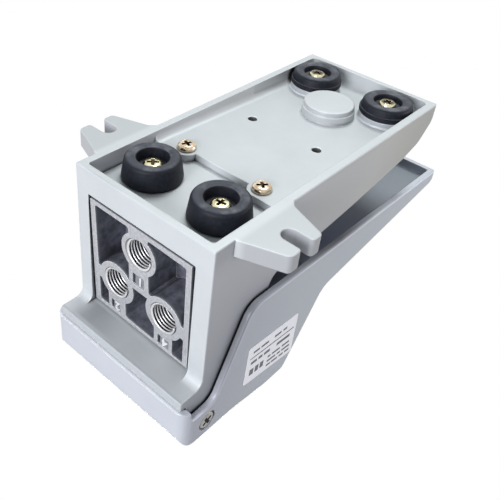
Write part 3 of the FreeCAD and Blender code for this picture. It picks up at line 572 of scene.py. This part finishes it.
def plainMetal(name, own):
    look = {**metalBase, **own}
    material, tree, shader = newFinish(name)
    coords = coordsOf(tree)
    patches = noiseOn(tree, coords, look["patchScale"], 3)
    grain = noiseOn(tree, coords, look["grainScale"], 2)
    colour = rampOf(tree, patches, [(0.35, look["dark"]), (0.65, look["light"])])
    # Painted shade in the corners and in the drivers' recesses.
    if "shade" in look:
        colour = crevices(tree, colour, **look["shade"])
    for cross in look.get("crosses", []):
        colour = mixColour(tree, inCross(tree, coords, cross), colour, look["recess"])
    look["smooth"] = look["rough"] - look["smoother"]
    look["rough"] += look["rougher"]
    grainSurface(tree, shader, colour, grain, roundedNormal(tree, look["edgeRadius"]), look)
    return material


# The label paper glows a little, painted light that keeps it whiter than the casting round it.
paperGrain = {"scale": 1800, "bump": 0.08, "depth": 0.1, "rough": 0.5}
paperLooks = {
    "labelPaper": {"dark": (0.74, 0.735, 0.78), "light": (0.78, 0.775, 0.82), "glow": 0.36},
    "labelInk": {"dark": (0.10, 0.10, 0.13), "light": (0.18, 0.18, 0.22), "glow": 0.0},
    # A painted shadow: the dark strips beside the figures.
    "slotShade": {"dark": (0.010, 0.010, 0.014), "light": (0.02, 0.02, 0.026), "glow": 0.0},
}


def paperFinish(name, look):
    material, tree, shader = newFinish(name)
    fibres = noiseOn(tree, coordsOf(tree), paperGrain["scale"], 3)
    bump = {"Height": fibres, "Strength": paperGrain["bump"], "Distance": mm(paperGrain["depth"])}
    feed(tree, shader.inputs, {
        "Base Color": rampOf(tree, fibres, [(0.3, look["dark"]), (0.7, look["light"])]),
        "Normal": firstOut(tree, "ShaderNodeBump", bump),
        "Roughness": paperGrain["rough"],
        "Emission Color": (*look["light"], 1),
        "Emission Strength": look["glow"],
    })
    return material


finishes = {
    "housingCast": castMetal("housingCast", housingLook),
    "pedalCast": castMetal("pedalCast", pedalLook),
    "valveCast": valveMetal("valveCast", valveLook),
    "rubber": rubberFinish("rubber", rubberLook),
}
for name, look in metalLooks.items():
    finishes[name] = plainMetal(name, look)
for name, look in paperLooks.items():
    finishes[name] = paperFinish(name, look)

nodeFinish = {
    "base_housing": "housingCast", "pedal": "pedalCast", "valve_body": "valveCast",
    "rear_foot_left": "rubber", "rear_foot_right": "rubber", "front_foot_left": "rubber",
    "front_foot_right": "rubber", "spool_seals": "rubber", "end_plug_o_ring": "rubber", "stem_seal": "rubber",
    "rear_foot_screws": "paleBrass", "front_foot_screws": "paleBrass", "valve_screws": "rosyBrass",
    "pivot_screws": "greySteel", "pivot_bushes": "bronze", "spool_guide_bush": "bronze",
    "valve_spool": "steel", "spool_return_spring": "steel", "end_plug": "steel",
    "guide_bush_circlip": "steel", "pedal_return_spring": "steel", "pusher_screw": "steel",
    "pusher_lock_nut": "steel",
}
for nodeName, finishName in nodeFinish.items():
    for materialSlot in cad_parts[nodeName].material_slots:
        materialSlot.material = finishes[finishName]
print("finishes on", len(nodeFinish), "nodes")


# Pieces grown from node trees.

socketKinds = {float: "NodeSocketFloat", int: "NodeSocketInt", tuple: "NodeSocketVector"}


def newTree(name, sizes):
    # A tree with a named input for each size, of the kind that its first value has.
    tree = bpy.data.node_groups.new(name, "GeometryNodeTree")
    sockets = tree.interface
    sockets.new_socket("Geometry", in_out="INPUT", socket_type="NodeSocketGeometry")
    for label, value in sizes.items():
        made = sockets.new_socket(label, in_out="INPUT", socket_type=socketKinds[type(value)])
        made.default_value = value
    sockets.new_socket("Material", in_out="INPUT", socket_type="NodeSocketMaterial")
    sockets.new_socket("Geometry", in_out="OUTPUT", socket_type="NodeSocketGeometry")
    return tree, addNode(tree, "NodeGroupInput").outputs


def finishTree(tree, given, geometry):
    real = firstOut(tree, "GeometryNodeRealizeInstances", {"Geometry": geometry})
    painted = firstOut(tree, "GeometryNodeSetMaterial", {"Geometry": real, "Material": given["Material"]})
    addNode(tree, "NodeGroupOutput", {"Geometry": painted})
    return tree


def sweptSpiral(tree, given, radius, steps, profile):
    # The profile, carried along a spiral with its own up kept along Z.
    height = maths(tree, "MULTIPLY", given["Turns"], given["Pitch"])
    spiral = firstOut(tree, "GeometryNodeCurveSpiral", {
        "Resolution": steps, "Reverse": True, "Rotations": given["Turns"], "Height": height,
        "Start Radius": radius, "End Radius": radius})
    path = firstOut(tree, "GeometryNodeSetCurveNormal", {"Curve": spiral}, mode="Z_UP")
    return firstOut(tree, "GeometryNodeCurveToMesh",
                    {"Curve": path, "Profile Curve": profile, "Fill Caps": True})


coilSteps = {"turn": 40, "wire": 16}


def coilTree():
    tree, given = newTree("coil", {"Turns": 8.0, "Pitch": 0.005, "Radius": 0.007, "Wire": 0.0008})
    wire = firstOut(tree, "GeometryNodeCurvePrimitiveCircle",
                    {"Resolution": coilSteps["wire"], "Radius": given["Wire"]})
    coil = sweptSpiral(tree, given, given["Radius"], coilSteps["turn"], wire)
    return finishTree(tree, given, firstOut(tree, "GeometryNodeSetShadeSmooth", {"Geometry": coil}))


threadSteps = 56


def threadTree():
    tree, given = newTree("portThread", {"Turns": 8.0, "Pitch": 0.0013, "Root Radius": 0.0066,
                                         "Crest Radius": 0.0057, "Root Width": 0.0012, "Crest Width": 0.0003})
    root, crest = given["Root Radius"], given["Crest Radius"]
    middle = maths(tree, "MULTIPLY", maths(tree, "ADD", root, crest), 0.5)
    tooth = firstOut(tree, "GeometryNodeCurvePrimitiveQuadrilateral", {
        "Offset": 0.0, "Height": maths(tree, "SUBTRACT", root, crest),
        "Bottom Width": given["Root Width"], "Top Width": given["Crest Width"]}, mode="TRAPEZOID")
    inwards = firstOut(tree, "GeometryNodeTransform", {"Geometry": tooth, "Rotation": (0, 0, math.pi / 2)})
    return finishTree(tree, given, sweptSpiral(tree, given, middle, threadSteps, inwards))


mostSpin = 1.5


def pairTree():
    # Copies the piece that it is given onto two points, each turned a little by chance.
    none = (0, 0, 0)
    tree, given = newTree("screwPair", {"First": none, "Second": none, "Lean": none, "Half Turn": 0.0,
                                        "Seed": 3})
    points = firstOut(tree, "GeometryNodeMeshLine",
                      {"Count": 2, "Start Location": given["First"], "Offset": given["Second"]},
                      mode="END_POINTS")
    spin = addNode(tree, "FunctionNodeRandomValue", {"Min": 0.0, "Max": mostSpin, "Seed": given["Seed"]},
                   data_type="FLOAT").outputs["Value"]
    index = firstOut(tree, "GeometryNodeInputIndex")
    over = maths(tree, "MULTIPLY", index, given["Half Turn"])
    steps = [firstOut(tree, "ShaderNodeCombineXYZ", {"Z": over}), given["Lean"],
             firstOut(tree, "ShaderNodeCombineXYZ", {"Z": spin})]
    turns = [firstOut(tree, "FunctionNodeEulerToRotation", {0: step}) for step in steps]
    whole = turns[0]
    for turn in turns[1:]:
        whole = firstOut(tree, "FunctionNodeRotateRotation", {0: whole, 1: turn}, rotation_space="LOCAL")
    copies = firstOut(tree, "GeometryNodeInstanceOnPoints",
                      {"Points": points, "Instance": given["Geometry"], "Rotation": whole})
    return finishTree(tree, given, copies)


def bakedMesh(thing):
    # The mesh as the modifiers leave it. The thing itself goes.
    made = bpy.data.meshes.new_from_object(thing.evaluated_get(bpy.context.evaluated_depsgraph_get()))
    bpy.data.objects.remove(thing)
    return made


def grow(name, tree, values, base=None):
    seed = newObject(name + "Seed", base or bpy.data.meshes.new(name + "Seed"))
    modifier = seed.modifiers.new("grow", "NODES")
    modifier.node_group = tree
    for item in tree.interface.items_tree:
        if item.in_out == "INPUT" and item.name in values:
            modifier[item.identifier] = values[item.name]
    return newObject(name, bakedMesh(seed))


def meshOf(name, shape):
    bmesh.ops.recalc_face_normals(shape, faces=shape.faces)
    mesh = bpy.data.meshes.new(name)
    shape.to_mesh(mesh)
    shape.free()
    return mesh


def bridge(shape, low, high):
    # Faces between two rings. A ring of one point closes the shape.
    steps = max(len(low), len(high))
    for k in range(steps):
        after = (k + 1) % steps
        if len(low) == 1:
            shape.faces.new((low[0], high[after], high[k]))
        elif len(high) == 1:
            shape.faces.new((low[k], low[after], high[0]))
        else:
            shape.faces.new((low[k], low[after], high[after], high[k]))


def turned(name, outline, steps):
    # A closed body turned about Z from a half outline of (radius, height) in millimetres.
    shape = bmesh.new()
    rings = []
    for radius, height in outline:
        ring = []
        for k in range(steps if radius else 1):
            angle = 2 * math.pi * k / steps
            place = (mm(radius) * math.cos(angle), mm(radius) * math.sin(angle), mm(height))
            ring.append(shape.verts.new(place))
        rings.append(ring)
    for low, high in zip(rings, rings[1:]):
        bridge(shape, low, high)
    return meshOf(name, shape)


# The cutter for a cross stands above the head and narrows as it goes down: each level below the mouth
# has its share of the depth, of the arm and of the half width.
crossMouth = {"above": 0.5, "armMore": 0.15, "halfMore": 0.06}
crossLevels = [(0.55, 0.72, 0.90), (1.0, 0.30, 0.62)]


def crossCutter(recess):
    levels = [(-crossMouth["above"], recess["arm"] + crossMouth["armMore"],
               recess["half"] + crossMouth["halfMore"])]
    for down, arm, half in crossLevels:
        levels.append((recess["depth"] * down, recess["arm"] * arm, recess["half"] * half))
    shape = bmesh.new()
    rings = []
    for depth, arm, half in levels:
        corners = []
        quarter = [(arm, -half), (arm, half), (half, half)]
        for turn in range(4):
            corners += quarter
            quarter = [(-y, x) for x, y in quarter]
        rings.append([shape.verts.new((mm(x), mm(y), mm(recess["top"] + depth))) for x, y in corners])
    for low, high in zip(rings, rings[1:]):
        bridge(shape, low, high)
    shape.faces.new(rings[0])
    shape.faces.new(list(reversed(rings[-1])))
    return meshOf("crossCutter", shape)


screwSteps = 48


def screwMesh(name, outline, recess):
    body = newObject(name, turned(name, outline, screwSteps))
    cutter = newObject(name + "Cutter", crossCutter(recess))
    carve = body.modifiers.new("recess", "BOOLEAN")
    carve.operation = "DIFFERENCE"
    carve.solver = "EXACT"
    carve.object = cutter
    made = bakedMesh(body)
    bpy.data.objects.remove(cutter)
    return made


springs = {
    "pedal_return_spring": {"place": (0, -114.6), "low": 3.6, "high": 48.9, "turns": 8.0, "radius": 7.2,
                            "wire": 0.8, "body": "housing", "joint": "pedal_hinge", "keep": 0.47},
    "spool_return_spring": {"place": (-0.95, -25.0), "low": 17.5, "high": 28.4, "turns": 6.0, "radius": 2.55,
                            "wire": 0.35, "body": "housing", "joint": "spool_slide", "keep": 0.58},
}
springTree = coilTree()
for node, spring in springs.items():
    rise = spring["high"] - spring["low"] - 2 * spring["wire"]
    piece = grow(node + "_coil", springTree, {"Turns": spring["turns"], "Pitch": mm(rise / spring["turns"]),
                                              "Radius": mm(spring["radius"]), "Wire": mm(spring["wire"]),
                                              "Material": finishes["steel"]})
    piece.data.transform(Matrix.Translation(at(*spring["place"], spring["low"] + spring["wire"])))
    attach(piece, spring["body"])
    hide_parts(node)
    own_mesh(piece)
print("springs wound")

thread = {"turns": 8.0, "start": -0.65,
          "sizes": {"Pitch": 1.337, "Root Radius": 6.59, "Crest Radius": 5.72, "Root Width": 1.22,
                    "Crest Width": 0.30}}
threadSizes = {label: mm(size) for label, size in thread["sizes"].items()}
portTree = threadTree()
inward = Matrix.Rotation(math.radians(90), 4, "X")
for name, (x, z) in portPlaces.items():
    piece = grow("thread_" + name, portTree, {**threadSizes, "Turns": thread["turns"],
                                              "Material": finishes["threadSilver"]})
    piece.data.transform(Matrix.Translation(at(x, thread["start"], z)) @ inward)
    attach(piece, "housing")
print("ports threaded")

# Each screw stands at its place and again at the same place on the other side.
panHead = [(0, -2.3), (1.9, -2.28), (2.9, -2.1), (3.5, -1.7), (3.82, -1.1), (3.9, -0.6), (3.9, -0.15),
           (3.75, 0)]
lowHead = [(0, -1.4), (2.6, -1.38), (3.4, -1.25), (3.8, -0.95), (3.9, -0.6), (3.9, 0)]
panRecess = {"top": -2.3, "depth": 1.8, "arm": 2.45, "half": 0.62}
screws = {
    "rear_foot_screws": {"head": panHead, "shank": [(1.95, 0), (1.95, 8.1), (1.45, 8.7), (0, 8.7)],
                         "recess": panRecess, "place": (-17.0, -22.4, 3.1), "seed": 5, "finish": "paleBrass"},
    "front_foot_screws": {"head": panHead, "shank": [(1.95, 0), (1.95, 11.7), (1.45, 12.3), (0, 12.3)],
                          "recess": panRecess, "place": (-19.0, -132.1, 1.1), "seed": 8,
                          "finish": "paleBrass"},
    "valve_screws": {"head": panHead, "shank": [(1.95, 0), (1.95, 12.5), (1.45, 13.1), (0, 13.1)],
                     "recess": panRecess, "place": (-19.1, -43.1, 4.3), "seed": 2, "finish": "rosyBrass"},
    "pivot_screws": {"head": lowHead, "shank": [(3.0, 0), (3.0, 2.1), (2.45, 2.1), (2.45, 10.1), (0, 10.1)],
                     "recess": {"top": -1.4, "depth": 1.25, "arm": 2.75, "half": 0.72},
                     "place": (36.6, -1.0, 83.3), "seed": 4, "finish": "greySteel",
                     "lean": (0, -math.pi / 2, 0), "over": math.pi},
}
screwTree = pairTree()
for node, screw in screws.items():
    one = screwMesh(node + "_one", screw["head"] + screw["shank"], screw["recess"])
    x, y, z = screw["place"]
    piece = grow(node + "_driven", screwTree, {"First": at(x, y, z), "Second": at(-x, y, z),
                                               "Lean": screw.get("lean", (0, 0, 0)),
                                               "Half Turn": screw.get("over", 0.0), "Seed": screw["seed"],
                                               "Material": finishes[screw["finish"]]}, one)
    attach(piece, "housing")
    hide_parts(node)
print("screws driven")


def thicken(shape, face, rise):
    raised = bmesh.ops.extrude_face_region(shape, geom=[face])
    lifted = [item for item in raised["geom"] if isinstance(item, bmesh.types.BMVert)]
    bmesh.ops.translate(shape, verts=lifted, vec=rise)


def slab(name, corners, rise):
    # A thin closed plate: corners go round it, and it rises from them.
    shape = bmesh.new()
    face = shape.faces.new([shape.verts.new(corner) for corner in corners])
    thicken(shape, face, rise)
    return newObject(name, meshOf(name, shape))


# For each figure: its middle, and the strip of painted shadow beside it as (across, lower end, upper end).
figures = {"1": {"place": (-0.35, 37.1), "slot": (-4.05, 34.7, 39.7)},
           "2": {"place": (-14.05, 59.9), "slot": (-17.05, 57.8, 62.2)},
           "4": {"place": (12.95, 60.0), "slot": (9.55, 57.7, 62.4)}}
figureSize = {"height": 4.1, "fontShare": 1.4, "raise": 0.55, "bold": 0.12, "boxDepth": 0.7}
slotSize = {"width": 1.3, "lift": 0.02, "thick": 0.05}
sameSpot = 1e-6


def figureMesh(text, size):
    curve = bpy.data.curves.new("figure" + text, "FONT")
    curve.body = text
    curve.align_x = "CENTER"
    curve.align_y = "CENTER"
    curve.size = mm(size["height"]) * size["fontShare"]
    curve.extrude = mm(size["raise"]) / 2
    curve.offset = mm(size["bold"])
    made = bakedMesh(newObject("figure", curve))
    shape = bmesh.new()
    shape.from_mesh(made)
    bmesh.ops.remove_doubles(shape, verts=shape.verts, dist=sameSpot)
    bmesh.ops.recalc_face_normals(shape, faces=shape.faces)
    shape.to_mesh(made)
    shape.free()
    return made


# Stands a flat figure up, to be read from behind the part.
upright = Matrix(((-1, 0, 0, 0), (0, 0, 1, 0), (0, 1, 0, 0), (0, 0, 0, 1)))
for text, figure in figures.items():
    x, z = figure["place"]
    slotX, slotLow, slotHigh = figure["slot"]
    floorY = faceY(slotLow) - figureSize["boxDepth"]
    mesh = figureMesh(text, figureSize)
    mesh.transform(Matrix.Translation(at(x, floorY + figureSize["raise"] / 2, z)) @ upright)
    mesh.materials.append(finishes["figureHighlight"])
    piece = newObject("figure_" + text, mesh)
    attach(piece, "housing")
    # A thin dark strip on the box's floor beside the figure: a painted shadow of the box's wall.
    left, right = slotX - slotSize["width"] / 2, slotX + slotSize["width"] / 2
    corners = [at(side, floorY + slotSize["lift"], height)
               for side, height in ((left, slotLow), (right, slotLow), (right, slotHigh), (left, slotHigh))]
    strip = slab("figure_slot_" + text, corners, (0, mm(slotSize["thick"]), 0))
    strip.data.materials.append(finishes["slotShade"])
    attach(strip, "housing")
print("figures raised")

label = {"corners": [(-55.3, 62.9), (-22.7, 60.1), (-22.1, 81.4), (-55.2, 86.3)], "side": 38.02,
         "thick": 0.12, "round": 0.6, "roundSteps": 4, "height": 22, "dashThick": 0.03}


def labelPiece(setup):
    shape = bmesh.new()
    shape.faces.new([shape.verts.new(at(setup["side"], y, z)) for y, z in setup["corners"]])
    bmesh.ops.bevel(shape, geom=list(shape.verts), offset=mm(setup["round"]),
                    segments=setup["roundSteps"], affect="VERTICES")
    thicken(shape, shape.faces[:][0], (mm(setup["thick"]), 0, 0))
    piece = newObject("blank_label", meshOf("label", shape))
    piece.data.materials.append(finishes["labelPaper"])
    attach(piece, "pedal")


labelPiece(label)

# Plain dashes stand where the real label is printed. Each row has how high it is, as a share of the label,
# how thick it is and where its dashes start and end, as shares of the label from the heel to the toe.
labelRows = [(0.88, 1.1, [(0.44, 0.53), (0.55, 0.68), (0.71, 0.80), (0.83, 0.93)]),
             (0.76, 1.1, [(0.44, 0.62), (0.65, 0.72), (0.75, 0.92)]),
             (0.64, 1.1, [(0.44, 0.50), (0.53, 0.70), (0.74, 0.90)]),
             (0.72, 3.6, [(0.08, 0.16), (0.19, 0.26), (0.29, 0.36)]),
             (0.46, 1.6, [(0.08, 0.20), (0.23, 0.31), (0.34, 0.46), (0.60, 0.88)]),
             (0.32, 0.6, [(0.05, 0.95)]),
             (0.18, 1.2, [(0.10, 0.22), (0.25, 0.40), (0.52, 0.66), (0.70, 0.78)])]
lowToe, lowHeel, highHeel, highToe = [at(label["side"] + label["thick"], y, z) for y, z in label["corners"]]


def onLabel(along, up):
    return lowHeel.lerp(lowToe, along).lerp(highHeel.lerp(highToe, along), up)


joined = bmesh.new()
for up, thick, dashes in labelRows:
    half = thick / 2 / label["height"]
    for start, end in dashes:
        corners = [onLabel(along, level) for along, level in ((start, up - half), (end, up - half),
                                                              (end, up + half), (start, up + half))]
        dash = slab("label_dash", corners, (mm(label["dashThick"]), 0, 0))
        joined.from_mesh(dash.data)
        bpy.data.objects.remove(dash)
mesh = bpy.data.meshes.new("label_bars")
joined.to_mesh(mesh)
joined.free()
mesh.materials.append(finishes["labelInk"])
bars = newObject("label_bars", mesh)
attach(bars, "pedal")
print("label laid on")
